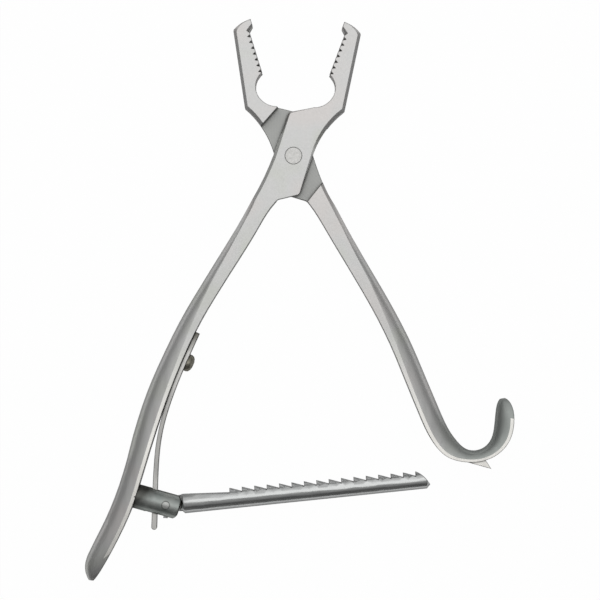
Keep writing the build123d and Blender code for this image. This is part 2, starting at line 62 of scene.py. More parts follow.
# %% [markdown]
# ## Helpers
# Colours are written as sRGB hex values, the way a paint chart gives them, and one function turns
# them to the linear values that the shaders work in. A second function adds a shader node with its
# settings and links in one line, which keeps a whole material readable as a list. A third puts a
# grid of points, worked out as numpy arrays, into a mesh. The other two fill a colour ramp and make an
# empty material.

# %% Colour, node and mesh helpers


def colour(code):
    """A hex sRGB colour as linear RGBA. A channel up to 0.04045 is divided by 12.92, and a higher one is
    ((c + 0.055) / 1.055) to the power 2.4."""
    srgb = np.array([int(code[i : i + 2], 16) for i in (1, 3, 5)]) / 255
    linear = np.where(srgb <= 0.04045, srgb / 12.92, ((srgb + 0.055) / 1.055) ** 2.4)
    return (*linear.tolist(), 1.0)


def add(tree, kind, inputs=None, **settings):
    """Adds a node of that kind. Each input gets a value, or a link if a socket is given for it."""
    node = tree.nodes.new(kind)
    for name, value in settings.items():
        setattr(node, name, value)
    for name, value in (inputs or {}).items():
        if isinstance(value, bpy.types.NodeSocket):
            tree.links.new(value, node.inputs[name])
        else:
            node.inputs[name].default_value = value
    return node


def set_stops(ramp, stops):
    """Gives a colour ramp its stops, as pairs of a position from 0 to 1 and a hex colour."""
    elements = ramp.color_ramp.elements
    while len(elements) < len(stops):
        elements.new(0.5)
    for element, (position, code) in zip(elements, stops):
        element.position, element.color = position, colour(code)


def grid_mesh(name, points):
    """A rows by columns by 3 array of points as a mesh of quads, one between each four neighbours."""
    rows, columns = points.shape[:2]
    index = np.arange(rows * columns).reshape(rows, columns)
    quads = np.stack([index[:-1, :-1], index[:-1, 1:], index[1:, 1:], index[1:, :-1]], axis=-1)
    mesh = bpy.data.meshes.new(name)
    mesh.from_pydata(points.reshape(-1, 3).tolist(), [], quads.reshape(-1, 4).tolist())
    mesh.validate()
    thing = bpy.data.objects.new(name, mesh)
    scene.collection.objects.link(thing)
    return thing


def new_material(name):
    """An empty node material and its node tree."""
    material = bpy.data.materials.new(name)
    material.use_nodes = True
    material.node_tree.nodes.clear()
    return material, material.node_tree


print("steel grey", [round(c, 3) for c in colour("#C6C6C4")])

# %% [markdown]
# ## Floor
# The forceps lies on a white table that the photograph shows without an edge. A pure white diffuse
# floor would need strong lamps to reach white. Instead most of the floor glows white, as the camera
# and the polished metal see it, and the rest is a pale diffuse surface that keeps a trace of the
# object's shadow. Close to the metal a real table lies in the object's own contact shadow, so the
# shorter a mirrored ray is below 70 mm, the more it sees of the diffuse part, with that shadow in it.

# %% Floor disc
FLOOR_RADIUS = 3.0
FLOOR_DROP = 0.03 * MM
TURN_STEPS = 97


def floor_disc():
    """Circles about the origin just under the metal: x and y are the radius times the cosine and the
    sine of the turn, and z is the same everywhere."""
    turn = np.linspace(0, 2 * np.pi, TURN_STEPS)
    radius = np.array([0.0, 0.5, 1.0])[:, None] * FLOOR_RADIUS
    x, y = radius * np.cos(turn), radius * np.sin(turn)
    return np.stack([x, y, np.full_like(x, -FLOOR_DROP)], axis=-1)


floor = grid_mesh("floor", floor_disc())
print("floor", 2 * FLOOR_RADIUS, "m across")

# %% White table that keeps the shadow
FLOOR_GLOW_SHARE = 0.985
CONTACT_FADE = 70 * MM

floor_white, tree = new_material("white table")
rays = add(tree, "ShaderNodeLightPath")
mirrored = add(
    tree,
    "ShaderNodeMath",
    {0: rays.outputs["Is Glossy Ray"], 1: rays.outputs["Is Transmission Ray"]},
    operation="MAXIMUM",
)
fade = add(tree, "ShaderNodeMapRange", {0: rays.outputs["Ray Length"], 1: 0.0, 2: CONTACT_FADE})
far_off = add(tree, "ShaderNodeMath", {0: mirrored.outputs[0], 1: fade.outputs[0]}, operation="MULTIPLY")
seen = add(
    tree, "ShaderNodeMath", {0: rays.outputs["Is Camera Ray"], 1: far_off.outputs[0]}, operation="MAXIMUM"
)
share = add(tree, "ShaderNodeMath", {0: seen.outputs[0], 1: FLOOR_GLOW_SHARE}, operation="MULTIPLY")
matt = add(tree, "ShaderNodeBsdfDiffuse", {"Color": colour("#F4F4F4")})
glow = add(tree, "ShaderNodeEmission", {"Color": colour("#FFFFFF"), "Strength": 1.0})
mix = add(tree, "ShaderNodeMixShader", {0: share.outputs[0], 1: matt.outputs[0], 2: glow.outputs[0]})
add(tree, "ShaderNodeOutputMaterial", {"Surface": mix.outputs[0]})
floor.data.materials.append(floor_white)
print("mirrored rays see the white table from", CONTACT_FADE, "m on")

# %% [markdown]
# ## Light
# Metal has no colour of its own to show: it shows what stands round it. A photographer lays bright
# steel in a tent of grey cloth under one large soft lamp. The faces that look up mirror the lamp and
# come out pale. The bevels and the round flanks of the grips mirror the cloth, and draw grey bands and
# dark lines along the form. The cloth is pale round the lamp, darkest halfway up and a little lighter
# near the table, and paler on the far side, beyond the jaws, than on the near side. The tent is one
# dome with a hole for the lamp and the lens. It is hidden from the camera, so that it doesn't stand in
# front of the part in a view from the side.

# %% Soft lamp
LAMP_HEIGHT = 1.5
LAMP_SIZE = 1.1
LAMP_POWER = 1.28
LAMP_PLACE = (0.0, 0.14)

lamp_data = bpy.data.lights.new("soft lamp", "AREA")
lamp_data.shape = "DISK"
lamp_data.size = LAMP_SIZE
lamp_data.energy = LAMP_POWER
lamp = bpy.data.objects.new("soft lamp", lamp_data)
lamp.location = (*LAMP_PLACE, LAMP_HEIGHT)
scene.collection.objects.link(lamp)
print("lamp", LAMP_SIZE, "m across at", LAMP_HEIGHT, "m")

# %% White room
ROOM_LIGHT = 0.9

world = bpy.data.worlds.new("studio")
world.use_nodes = True
scene.world = world
tree = world.node_tree
tree.nodes.clear()
rays = add(tree, "ShaderNodeLightPath")
seen = add(
    tree,
    "ShaderNodeMath",
    {0: rays.outputs["Is Camera Ray"], 1: rays.outputs["Is Glossy Ray"]},
    operation="MAXIMUM",
)
seen = add(
    tree,
    "ShaderNodeMath",
    {0: seen.outputs[0], 1: rays.outputs["Is Transmission Ray"]},
    operation="MAXIMUM",
)
level = add(tree, "ShaderNodeMapRange", {0: seen.outputs[0], 3: ROOM_LIGHT, 4: 1.0})
sky = add(tree, "ShaderNodeBackground", {"Color": colour("#FFFFFF"), "Strength": level.outputs[0]})
add(tree, "ShaderNodeOutputWorld", {"Surface": sky.outputs[0]})
print("room white to the eye, and", ROOM_LIGHT, "as a light")

# %% Dome of the tent
TENT_RADIUS = 0.9
TENT_RIM_NEAR = 77.0
TENT_RIM_FAR = 56.0
RISE_STEPS = 25


def tent_dome():
    """A part of a sphere round the forceps. The height angle goes from the table up to a rim that is
    higher on the near side than on the far side, by the sine of the turn."""
    turn = np.linspace(0, 2 * np.pi, TURN_STEPS)
    rise = np.linspace(0, 1, RISE_STEPS)[:, None]
    middle, swing = (TENT_RIM_NEAR + TENT_RIM_FAR) / 2, (TENT_RIM_NEAR - TENT_RIM_FAR) / 2
    angle = np.radians(rise * (middle - swing * np.sin(turn)))
    x = TENT_RADIUS * np.cos(angle) * np.cos(turn)
    y = TENT_RADIUS * np.cos(angle) * np.sin(turn)
    return np.stack([x, y, TENT_RADIUS * np.sin(angle)], axis=-1)


tent = grid_mesh("tent", tent_dome())
tent.visible_camera = False
print("tent", 2 * TENT_RADIUS, "m across")

# %% Grey tent cloth, lit from outside
TENT_SHADES = [
    (0.0, "#9E9E9E"),
    (0.50, "#7E7E7E"),
    (0.60, "#8C8C8C"),
    (0.72, "#BABABA"),
    (0.92, "#C2C2C2"),
]
TENT_GRADE = 0.8
TENT_NEAR_LEVEL = 0.52
TENT_FAR_LEVEL = 1.6
TENT_FAR_LIFT = 0.2

cloth, tree = new_material("grey tent cloth lit from outside")
place = add(tree, "ShaderNodeTexCoord").outputs["Object"]
direction = add(tree, "ShaderNodeVectorMath", {0: place}, operation="NORMALIZE")
parts = add(tree, "ShaderNodeSeparateXYZ", {0: direction.outputs[0]})
far = add(tree, "ShaderNodeMath", {0: parts.outputs["Y"], 1: 0.0}, operation="MAXIMUM")
height = add(
    tree,
    "ShaderNodeMath",
    {0: far.outputs[0], 1: TENT_FAR_LIFT, 2: parts.outputs["Z"]},
    operation="MULTIPLY_ADD",
)
shade = add(tree, "ShaderNodeValToRGB", {0: height.outputs[0]})
set_stops(shade, TENT_SHADES)
level = add(
    tree,
    "ShaderNodeMapRange",
    {0: parts.outputs["Y"], 1: -TENT_GRADE, 2: TENT_GRADE, 3: TENT_NEAR_LEVEL, 4: TENT_FAR_LEVEL},
)
light = add(tree, "ShaderNodeEmission", {"Color": shade.outputs[0], "Strength": level.outputs[0]})
add(tree, "ShaderNodeOutputMaterial", {"Surface": light.outputs[0]})
tent.data.materials.append(cloth)
print("tent's light from", TENT_NEAR_LEVEL, "on the near side to", TENT_FAR_LEVEL, "on the far side")

# %% [markdown]
# ## Smooth shading on the CAD pieces
# The frame's meshes are loose triangles, so a curved grip would show its facets. The mesh itself has
# to stay as it is. A small geometry node modifier joins the triangles as they are drawn, shades them
# smooth, and keeps each edge sharp that turns by more than a set angle. The bar takes a larger angle,
# because its rounded nose has few facets. A weighted normal modifier after it lets the broad flat faces
# stay flat right up to their bevels.

# %% Smooth by angle, as a modifier
SHARP_ANGLE = radians(24)
BAR_SHARP_ANGLE = radians(48)
JOIN_DISTANCE = 0.002 * MM

smoother = bpy.data.node_groups.new("smooth by angle", "GeometryNodeTree")
smoother.interface.new_socket("Geometry", in_out="INPUT", socket_type="NodeSocketGeometry")
smoother.interface.new_socket("Geometry", in_out="OUTPUT", socket_type="NodeSocketGeometry")
sharp_from = smoother.interface.new_socket("Sharp from", in_out="INPUT", socket_type="NodeSocketFloat")
sharp_from.default_value = SHARP_ANGLE
source = add(smoother, "NodeGroupInput")
joined = add(
    smoother, "GeometryNodeMergeByDistance", {"Geometry": source.outputs[0], "Distance": JOIN_DISTANCE}
)
faces = add(smoother, "GeometryNodeSetShadeSmooth", {"Geometry": joined.outputs[0], "Shade Smooth": True})
angle = add(smoother, "GeometryNodeInputMeshEdgeAngle")
sharp = add(
    smoother,
    "FunctionNodeCompare",
    {0: angle.outputs[0], 1: source.outputs["Sharp from"]},
    operation="GREATER_THAN",
)
edges = add(
    smoother,
    "GeometryNodeSetShadeSmooth",
    {"Geometry": faces.outputs[0], "Selection": sharp.outputs[0], "Shade Smooth": False},
    domain="EDGE",
)
add(smoother, "NodeGroupOutput", {"Geometry": edges.outputs[0]})
print("edges stay sharp from", round(degrees(SHARP_ANGLE)), "degrees")

# %% Modifiers on each piece
for name, piece in nodes.items():
    smooth = piece.modifiers.new("smooth by angle", "NODES")
    smooth.node_group = smoother
    smooth[sharp_from.identifier] = BAR_SHARP_ANGLE if name == "ratchet_bar" else SHARP_ANGLE
    weighted = piece.modifiers.new("weighted normals", "WEIGHTED_NORMAL")
    weighted.keep_sharp = True
print("smoothed", len(nodes), "CAD pieces")

# %% [markdown]
# ## What all the metal shares
# Four things are the same on every piece. A machined edge is never sharp, so a bevel node rounds the
# normal over a third of a millimetre there, with no change to the mesh. An ambient occlusion node that
# reaches only a millimetre and a half paints shade into the base colour in corners and narrow gaps. A
# square edge looks like a thin dark line, because its broken corner mirrors the dark side of the piece,
# and that line is painted as well: a second bevel node finds such edges, and where it turns the face by
# more than 23 degrees, which a bevelled edge never does, the colour goes dark. And iron-chromium steels
# mirror a little less at a glancing angle than a plain metal would, which the specular tint of a metal
# gives. One function ties these to one shader. A second lays one finish over another where a mask is 1,
# and a third puts the material on a piece.

# %% Rounded edges, painted shade in corners and on edges, and the metal shader
EDGE_RADIUS = 0.3 * MM
SHADE_REACH = 1.5 * MM
OPEN_UNSHADED = 0.85
OPEN_DARK = 0.35
LINE_RADIUS = 1.1 * MM
LINE_FROM = 0.92  # the cosine of 23 degrees
LINE_FULL = 0.78  # the cosine of 39 degrees
LINE_SHARE = 0.9
# the dark grey of the painted shade in corners and of the painted dark line on square edges
PAINTED_SHADE_GREY = "#2B2A27"
GLANCING_TINT = "#D2D2D2"


def finish_steel(tree, base, rough, normal, painted_shade=1.0):
    """Principled metal with painted shade in its base colour, in corners and along square edges. A place
    that is open by 85 percent or more is left unshaded, and one that is open by 35 percent or less takes
    the full painted shade. The painted dark line starts where the bevel turns the face by 23 degrees, and
    is full from 39 degrees. The painted shade argument is a share from 0 to 1, or a socket."""
    corner = add(tree, "ShaderNodeAmbientOcclusion", {"Distance": SHADE_REACH}, samples=8)
    closed = add(tree, "ShaderNodeMapRange", {0: corner.outputs["AO"], 1: OPEN_UNSHADED, 2: OPEN_DARK})
    face = add(tree, "ShaderNodeNewGeometry").outputs["True Normal"]
    edge = add(tree, "ShaderNodeBevel", {"Radius": LINE_RADIUS, "Normal": face}, samples=8)
    turn = add(tree, "ShaderNodeVectorMath", {0: edge.outputs[0], 1: face}, operation="DOT_PRODUCT")
    line = add(
        tree,
        "ShaderNodeMapRange",
        {0: turn.outputs["Value"], 1: LINE_FROM, 2: LINE_FULL, 4: LINE_SHARE},
    )
    most = add(tree, "ShaderNodeMath", {0: closed.outputs[0], 1: line.outputs[0]}, operation="MAXIMUM")
    share = add(tree, "ShaderNodeMath", {0: most.outputs[0], 1: painted_shade}, operation="MULTIPLY")
    # painted shade: the base colour goes towards that dark grey in closed-in corners and on square edges
    dark = add(tree, "ShaderNodeMix", {0: share.outputs[0], 6: base, 7: colour(PAINTED_SHADE_GREY)}, data_type="RGBA")
    steel = add(
        tree,
        "ShaderNodeBsdfPrincipled",
        {"Base Color": dark.outputs[2], "Metallic": 1.0, "Roughness": rough, "Normal": normal},
    )
    steel.inputs["Specular Tint"].default_value = colour(GLANCING_TINT)
    add(tree, "ShaderNodeOutputMaterial", {"Surface": steel.outputs[0]})


def lay_over(tree, mask, under, over):
    """One finish over another where the mask is 1. A finish is a colour and a roughness, each a value or
    a socket."""
    base = add(tree, "ShaderNodeMix", {0: mask, 6: under[0], 7: over[0]}, data_type="RGBA")
    rough = add(tree, "ShaderNodeMix", {0: mask, 2: under[1], 3: over[1]})
    return base.outputs[2], rough.outputs[0]


def dress(node, material):
    """Puts the material in every slot of a CAD piece."""
    for slot in nodes[node].material_slots:
        slot.material = material


print("edges rounded over", EDGE_RADIUS / MM, "mm, corners dark over", SHADE_REACH / MM, "mm")

# %% [markdown]
# ## Satin stainless steel of the levers
# The levers are forged from hardenable stainless steel, ground on a belt and blasted with fine glass
# beads, which gives a pale grey, even sheen with no mirror in it. The steel drifts a little between a
# warm and a greenish grey from one hand's width to the next. The bead marks are about a tenth of a
# millimetre, too fine to show at this distance, so they are drawn eight times as coarse.

# %% Lever steel: tone and grain
TONE_DRIFT = 26 * MM
BEAD_MARKS = 0.8 * MM

lever_steel, tree = new_material("bead-blasted stainless steel")
place = add(tree, "ShaderNodeTexCoord").outputs["Object"]
drift = add(tree, "ShaderNodeTexNoise", {"Vector": place, "Scale": 1 / TONE_DRIFT, "Detail": 2.0})
tone = add(tree, "ShaderNodeValToRGB", {0: drift.outputs[0]})
set_stops(tone, [(0.36, "#C0C2BB"), (0.5, "#C5C5C4"), (0.64, "#C8C5C3")])
grain = add(
    tree, "ShaderNodeTexNoise", {"Vector": place, "Scale": 1 / BEAD_MARKS, "Detail": 3.0, "Roughness": 0.6}
)
sheen = add(tree, "ShaderNodeMapRange", {0: grain.outputs[0], 1: 0.3, 2: 0.7, 3: 0.36, 4: 0.4})
print("bead marks drawn", BEAD_MARKS / MM, "mm wide")

# %% [markdown]
# The grips are ground by hand, round side after round side. The wheel leaves long shallow waves, which
# break up the dark band along each grip. It also leaves the side a little fuller than the narrow flats
# of the frame, with a crisp line where it meets the flat strip along the inner edge. The waves are a
# bump, and the fuller side leans the normal outwards a little wherever the face isn't flat.

# %% Lever steel: fuller sides of the grips
SIDE_LEAN = 0.13
GRIP_TOP = -22 * MM
GRIP_FULL = -34 * MM
LEVEL_FROM = 0.9985
LEVEL_FADE = 0.0005

geometry = add(tree, "ShaderNodeNewGeometry")
where = add(tree, "ShaderNodeSeparateXYZ", {0: place})
facing = add(tree, "ShaderNodeSeparateXYZ", {0: geometry.outputs["True Normal"]})
upright = add(tree, "ShaderNodeMath", {0: facing.outputs["Z"]}, operation="ABSOLUTE")
side = add(
    tree,
    "ShaderNodeMapRange",
    {0: upright.outputs[0], 1: LEVEL_FROM + LEVEL_FADE, 2: LEVEL_FROM - LEVEL_FADE, 4: SIDE_LEAN},
)
on_grip = add(tree, "ShaderNodeMapRange", {0: where.outputs["Y"], 1: GRIP_TOP, 2: GRIP_FULL})
lean = add(tree, "ShaderNodeMath", {0: side.outputs[0], 1: on_grip.outputs[0]}, operation="MULTIPLY")
smooth_face = geometry.outputs["Normal"]
sideways = add(tree, "ShaderNodeVectorMath", {0: smooth_face, 1: (1, 1, 0)}, operation="MULTIPLY")
outwards = add(tree, "ShaderNodeVectorMath", {0: sideways.outputs[0]}, operation="NORMALIZE")
push = add(
    tree, "ShaderNodeVectorMath", {0: outwards.outputs[0], "Scale": lean.outputs[0]}, operation="SCALE"
)
pushed = add(tree, "ShaderNodeVectorMath", {0: smooth_face, 1: push.outputs[0]}, operation="ADD")
leaned = add(tree, "ShaderNodeVectorMath", {0: pushed.outputs[0]}, operation="NORMALIZE")
level_face = add(tree, "ShaderNodeMath", {0: upright.outputs[0], 1: LEVEL_FROM}, operation="GREATER_THAN")
shape = add(
    tree,
    "ShaderNodeMix",
    {0: level_face.outputs[0], 4: leaned.outputs[0], 5: geometry.outputs["True Normal"]},
    data_type="VECTOR",
)
rounded = add(tree, "ShaderNodeBevel", {"Radius": EDGE_RADIUS, "Normal": shape.outputs[1]}, samples=6)
print("sides lean outwards by", SIDE_LEAN)

# %% Lever steel: grinding waves and bead marks
WAVE_LENGTH = 7 * MM
WAVE_STRETCH = 0.16
WAVE_DEPTH = 0.4 * MM
BEAD_DEPTH = 0.02 * MM

along = add(tree, "ShaderNodeMapping", {"Vector": place, "Scale": (1.0, WAVE_STRETCH, 1.0)})
waves = add(
    tree, "ShaderNodeTexNoise", {"Vector": along.outputs[0], "Scale": 1 / WAVE_LENGTH, "Detail": 1.5}
)
wavy = add(
    tree,
    "ShaderNodeBump",
    {"Height": waves.outputs[0], "Distance": WAVE_DEPTH, "Strength": 0.5, "Normal": rounded.outputs[0]},
)
blasted = add(
    tree,
    "ShaderNodeBump",
    {"Height": grain.outputs[0], "Distance": BEAD_DEPTH, "Strength": 0.1, "Normal": wavy.outputs[0]},
)
print("waves", WAVE_LENGTH / MM, "mm wide and", WAVE_DEPTH / MM, "mm deep")

# %% [markdown]
# Some places look different on the real levers. The floors of the half-lap were milled and never
# blasted: they are duller, with faint arcs from the cutter, about 0.3 mm apart and drawn four times as
# far. Their darker grey is partly the milled finish and partly painted shade from the walls of the lap.
# The finger hook has a darker, bluish grey. The upper face of the pawl tooth was filed bright. All are
# masks on the object's own coordinates: the hook starts at an X of its own, and each level face lies at
# a height of its own, the lap floors at half the thickness and the pawl's upper face at 8 mm.

# %% Lever steel: milled lap floors
LAP_LEVEL = 5.5 * MM
LEVEL_SLACK = 0.08 * MM
NEARLY_LEVEL = 0.9
CUTTER_CENTRE = (30 * MM, 12 * MM, 0)
CUTTER_FEED = 1.2 * MM
WAVE_UNIT = 2 * np.pi / 20  # a wave texture of scale 1 has a band each 2 pi / 20 of a metre

flat = add(tree, "ShaderNodeMath", {0: upright.outputs[0], 1: NEARLY_LEVEL}, operation="GREATER_THAN")
at_lap = add(
    tree, "ShaderNodeMath", {0: where.outputs["Z"], 1: LAP_LEVEL, 2: LEVEL_SLACK}, operation="COMPARE"
)
milled = add(tree, "ShaderNodeMath", {0: at_lap.outputs[0], 1: flat.outputs[0]}, operation="MULTIPLY")
cutter = add(tree, "ShaderNodeVectorMath", {0: place, 1: CUTTER_CENTRE}, operation="SUBTRACT")
arcs = add(
    tree,
    "ShaderNodeTexWave",
    {"Vector": cutter.outputs[0], "Scale": WAVE_UNIT / CUTTER_FEED, "Distortion": 0.6},
    wave_type="RINGS",
    rings_direction="Z",
)
# painted shade: the lap floors' grey is darker, partly for the milled finish and partly as shade from the
# lap's walls
lap_floor_tone_and_shade = add(tree, "ShaderNodeValToRGB", {0: arcs.outputs["Fac"]})
set_stops(lap_floor_tone_and_shade, [(0.0, "#B5B6B4"), (1.0, "#B8B9B6")])
blasted_finish = (tone.outputs[0], sheen.outputs[0])
finish = lay_over(tree, milled.outputs[0], blasted_finish, (lap_floor_tone_and_shade.outputs[0], 0.52))
print("lap floors at", LAP_LEVEL / MM, "mm")

# %% Lever steel: finger hook and pawl tooth
HOOK_START = 58 * MM
HOOK_FULL = 74 * MM
PAWL_LEVEL = 8.0 * MM

hook = add(tree, "ShaderNodeMapRange", {0: where.outputs["X"], 1: HOOK_START, 2: HOOK_FULL})
finish = lay_over(tree, hook.outputs[0], finish, (colour("#979B98"), sheen.outputs[0]))
at_pawl = add(
    tree, "ShaderNodeMath", {0: where.outputs["Z"], 1: PAWL_LEVEL, 2: LEVEL_SLACK}, operation="COMPARE"
)
filed = add(tree, "ShaderNodeMath", {0: at_pawl.outputs[0], 1: flat.outputs[0]}, operation="MULTIPLY")
finish = lay_over(tree, filed.outputs[0], finish, (colour("#E4E2DD"), 0.2))
print("hook grey from x", HOOK_START / MM, "mm, pawl bright at z", PAWL_LEVEL / MM, "mm")

# %% [markdown]
# The narrow flat strip along the inner edge of each grip, and on round the outside of the hook, was
# polished last, so it is smoother, and its paler colour is a painted highlight. It is the level face of
# the lower grips, so its mask is the level face again, let in over 50 mm along the grip. Round the joint
# pin the painted shade and the painted dark line are kept faint, so the pin shows as a faint ring.

# %% Lever steel: painted highlight on the strip and faint painted shade round the pin, then the finished levers
STRIP_START = -75 * MM
STRIP_FULL = -125 * MM
FAINT_SHADE_TO = 4.0 * MM
DARK_FROM = 5.0 * MM
FAINT_SHADE_SHARE = 0.2

low = add(tree, "ShaderNodeMapRange", {0: where.outputs["Y"], 1: STRIP_START, 2: STRIP_FULL})
highlight_strip = add(tree, "ShaderNodeMath", {0: low.outputs[0], 1: level_face.outputs[0]}, operation="MULTIPLY")
# painted highlight: the level strip gets a paler colour than the blasted steel
finish = lay_over(tree, highlight_strip.outputs[0], finish, (colour("#EAE8E3"), 0.24))
across = add(tree, "ShaderNodeVectorMath", {0: place, 1: (1, 1, 0)}, operation="MULTIPLY")
off_axis = add(tree, "ShaderNodeVectorMath", {0: across.outputs[0]}, operation="LENGTH")
# the painted shade is kept faint within a few millimetres of the joint pin's axis
pin_shade_share = add(
    tree,
    "ShaderNodeMapRange",
    {0: off_axis.outputs["Value"], 1: FAINT_SHADE_TO, 2: DARK_FROM, 3: FAINT_SHADE_SHARE, 4: 1.0},
)
finish_steel(tree, *finish, blasted.outputs[0], painted_shade=pin_shade_share.outputs[0])
for node in ("front_lever", "rear_lever"):
    dress(node, lever_steel)
print("bright strip from y", STRIP_START / MM, "mm down")

# %% [markdown]
# ## Rivets
# The joint pin and the small pivot pin are the same stainless steel, riveted and then dressed flush
# with a fine stone that turned on the spot. That leaves faint rings round the pin's own centre, about
# 0.2 mm apart on the real one and drawn four times as coarse. They take only a little of the painted
# shade and the painted dark line.

# %% Rivet steel
STONE_RINGS = 0.8 * MM
STONE_DEPTH = 0.01 * MM
PIVOT = (-54.5 * MM, -149.0 * MM, 5.5 * MM)

for node, name, centre, code in (
    ("joint_pin", "stainless rivet dressed flush", (0, 0, 0), "#C4C3C1"),
    ("ratchet_pivot_pin", "small stainless rivet dressed flush", PIVOT, "#A5A8A6"),
):
    rivet, tree = new_material(name)
    place = add(tree, "ShaderNodeTexCoord").outputs["Object"]
    centred = add(tree, "ShaderNodeVectorMath", {0: place, 1: centre}, operation="SUBTRACT")
    rings = add(
        tree,
        "ShaderNodeTexWave",
        {"Vector": centred.outputs[0], "Scale": WAVE_UNIT / STONE_RINGS, "Distortion": 0.4},
        wave_type="RINGS",
        rings_direction="Z",
    )
    grain = add(tree, "ShaderNodeTexNoise", {"Vector": place, "Scale": 1 / BEAD_MARKS, "Detail": 2.0})
    shade = add(
        tree,
        "ShaderNodeMix",
        {0: grain.outputs[0], 6: colour(code), 7: colour("#BDBDBA")},
        data_type="RGBA",
    )
    rough = add(tree, "ShaderNodeMapRange", {0: grain.outputs[0], 1: 0.3, 2: 0.7, 3: 0.32, 4: 0.42})
    rounded = add(tree, "ShaderNodeBevel", {"Radius": EDGE_RADIUS}, samples=6)
    ringed = add(
        tree,
        "ShaderNodeBump",
        {
            "Height": rings.outputs["Fac"],
            "Distance": STONE_DEPTH,
            "Strength": 0.4,
            "Normal": rounded.outputs[0],
        },
    )
    finish_steel(tree, shade.outputs[2], rough.outputs[0], ringed.outputs[0], painted_shade=FAINT_SHADE_SHARE)
    dress(node, rivet)
print("rivets dressed", STONE_RINGS / MM, "mm between rings")

# %% [markdown]
# ## Ratchet socket
# The socket is turned from bar and brazed into the grip. Turning leaves fine rings round its axis,
# about 0.25 mm apart and drawn four times as coarse. The brazing flame has tinted the steel greenish
# grey over the whole ferrule. The last few millimetres by the grip are nearly black, and the dark part
# reaches further along the upper side. The pattern is laid in the socket's own frame, turned about the
# pivot by the socket's angle.

# %% Turned and flame-tinted steel
SOCKET_ANGLE = radians(15.5)
TURNING_FEED = 1.0 * MM
TURNING_DEPTH = 0.02 * MM
STAIN_PATCH = 5 * MM
DARK_RAGGED = 2.0 * MM
DARK_SLANT = -0.5
DARK_START = -6.5 * MM
DARK_FULL = -11.5 * MM

socket_steel, tree = new_material("turned steel darkened by brazing")
place = add(tree, "ShaderNodeTexCoord").outputs["Object"]
centred = add(tree, "ShaderNodeVectorMath", {0: place, 1: PIVOT}, operation="SUBTRACT")
own = add(tree, "ShaderNodeMapping", {"Vector": centred.outputs[0], "Rotation": (0, 0, SOCKET_ANGLE)})
parts = add(tree, "ShaderNodeSeparateXYZ", {0: own.outputs[0]})
rings = add(
    tree,
    "ShaderNodeTexWave",
    {"Vector": own.outputs[0], "Scale": WAVE_UNIT / TURNING_FEED, "Distortion": 0.5},
    bands_direction="X",
)
stain = add(
    tree, "ShaderNodeTexNoise", {"Vector": own.outputs[0], "Scale": 1 / STAIN_PATCH, "Detail": 3.0}
)
tone = add(tree, "ShaderNodeValToRGB", {0: stain.outputs[0]})
set_stops(tone, [(0.35, "#959B98"), (0.55, "#A4A8A5"), (0.7, "#ADB0AC")])
uneven = add(tree, "ShaderNodeMapRange", {0: stain.outputs[0], 3: -DARK_RAGGED, 4: DARK_RAGGED})
reach = add(tree, "ShaderNodeMath", {0: parts.outputs["X"], 1: uneven.outputs[0]}, operation="ADD")
slanted = add(
    tree,
    "ShaderNodeMath",
    {0: parts.outputs["Y"], 1: DARK_SLANT, 2: reach.outputs[0]},
    operation="MULTIPLY_ADD",
)
# the socket goes nearly black over its last few millimetres by the grip, further along its upper side
dark_by_grip = add(tree, "ShaderNodeMapRange", {0: slanted.outputs[0], 1: DARK_START, 2: DARK_FULL, 4: 0.8})
base = add(
    tree,
    "ShaderNodeMix",
    {0: dark_by_grip.outputs[0], 6: tone.outputs[0], 7: colour("#3C3A35")},
    data_type="RGBA",
)
rough = add(tree, "ShaderNodeMapRange", {0: stain.outputs[0], 1: 0.3, 2: 0.7, 3: 0.36, 4: 0.46})
rounded = add(tree, "ShaderNodeBevel", {"Radius": EDGE_RADIUS}, samples=6)
turned_rings = add(
    tree,
    "ShaderNodeBump",
    {
        "Height": rings.outputs["Fac"],
        "Distance": TURNING_DEPTH,
        "Strength": 0.5,
        "Normal": rounded.outputs[0],
    },
)
finish_steel(tree, base.outputs[2], rough.outputs[0], turned_rings.outputs[0])
dress("ratchet_socket", socket_steel)
print("turning rings", TURNING_FEED / MM, "mm apart")

# %% [markdown]
# ## Ratchet bar
# The bar is turned to its taper, filed to its teeth and polished lengthwise, so it is the shiniest
# piece. Its surface isn't quite true: long low waves pull the mirrored tent into streaks. The fine
# lengthwise lines are a few hundredths of a millimetre wide and are drawn ten times as wide. Its edges
# were filed, not blasted, so they are rounded less.

# %% Bright lengthwise-polished steel
BAR_ANGLE = radians(-5.45)
POLISH_LINES = 0.4 * MM
POLISH_STRETCH = 0.05
POLISH_DEPTH = 0.012 * MM
BAR_WAVES = 2.6 * MM
BAR_WAVE_STRETCH = 0.22
BAR_WAVE_DEPTH = 0.12 * MM
FILED_EDGE = 0.18 * MM

bar_steel, tree = new_material("turned steel polished lengthwise")
place = add(tree, "ShaderNodeTexCoord").outputs["Object"]
centred = add(tree, "ShaderNodeVectorMath", {0: place, 1: PIVOT}, operation="SUBTRACT")
own = add(tree, "ShaderNodeMapping", {"Vector": centred.outputs[0], "Rotation": (0, 0, BAR_ANGLE)})
stretched = add(
    tree, "ShaderNodeMapping", {"Vector": own.outputs[0], "Scale": (POLISH_STRETCH, 1.0, 1.0)}
)
lines = add(
    tree, "ShaderNodeTexNoise", {"Vector": stretched.outputs[0], "Scale": 1 / POLISH_LINES, "Detail": 2.0}
)
slow = add(tree, "ShaderNodeMapping", {"Vector": own.outputs[0], "Scale": (BAR_WAVE_STRETCH, 1.0, 1.0)})
waves = add(
    tree, "ShaderNodeTexNoise", {"Vector": slow.outputs[0], "Scale": 1 / BAR_WAVES, "Detail": 2.0}
)
tone = add(tree, "ShaderNodeValToRGB", {0: lines.outputs[0]})
set_stops(tone, [(0.3, "#B4B6B6"), (0.7, "#C6C7C6")])
